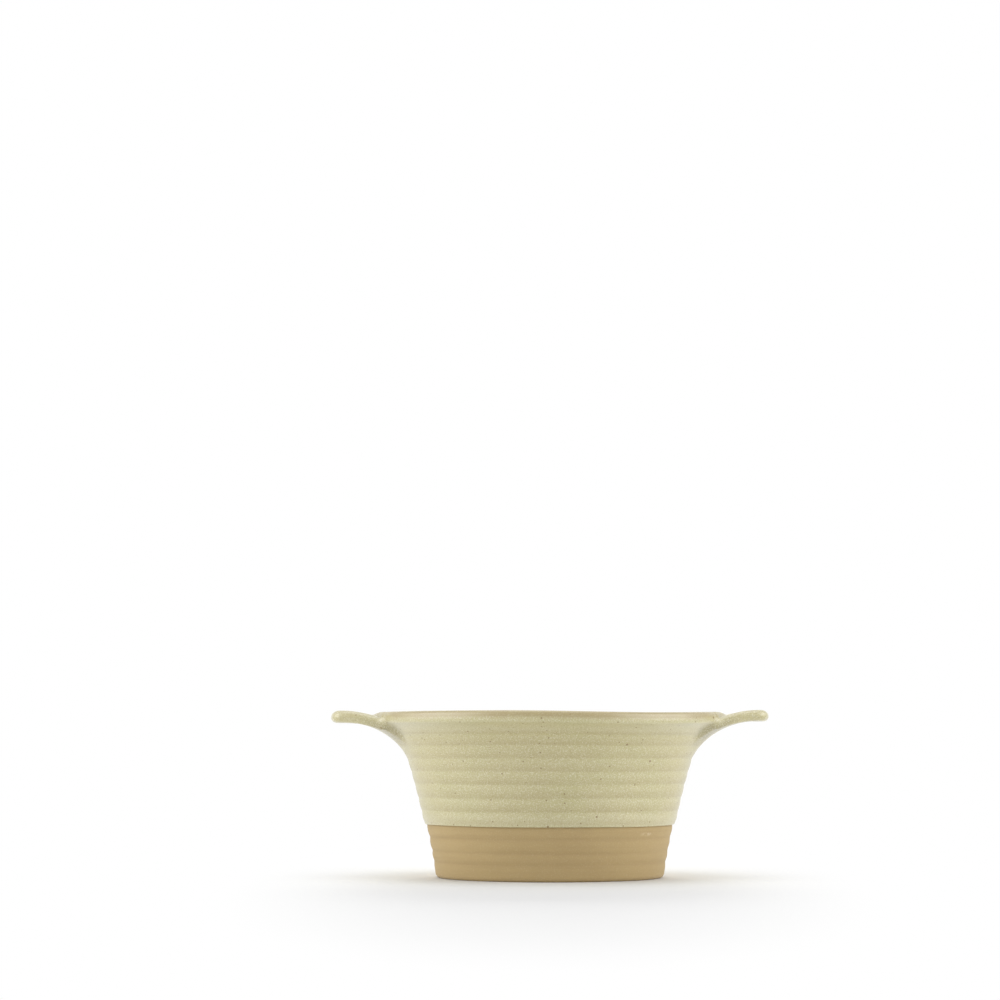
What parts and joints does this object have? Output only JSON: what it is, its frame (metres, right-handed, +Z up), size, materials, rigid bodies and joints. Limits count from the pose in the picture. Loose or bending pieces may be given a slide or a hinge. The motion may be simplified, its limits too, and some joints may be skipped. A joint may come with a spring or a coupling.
{
  "type": "eared baking dish",
  "caption": "Round flared stoneware baking dish with a ribbed wall, thumb lugs under the rim, a speckled glaze and a bare clay foot, for baking and serving single portions.",
  "frame": {"origin": "centre of the foot on the surface the dish stands on", "axes": "+Z up, +X from the dish's centre to the right lug, -Y towards the camera of the picture"},
  "size_m": [0.177, 0.1398, 0.0673],
  "materials": {
    "bare_clay": "matte fired stoneware",
    "speckled_glaze": "satin gloss, fine speckle"
  },
  "bodies": {
    "root": {"clay_body": "bare_clay", "left_lug": "bare_clay", "right_lug": "bare_clay", "inside_glaze": "speckled_glaze", "outside_glaze": "speckled_glaze"}
  },
  "joints": []
}
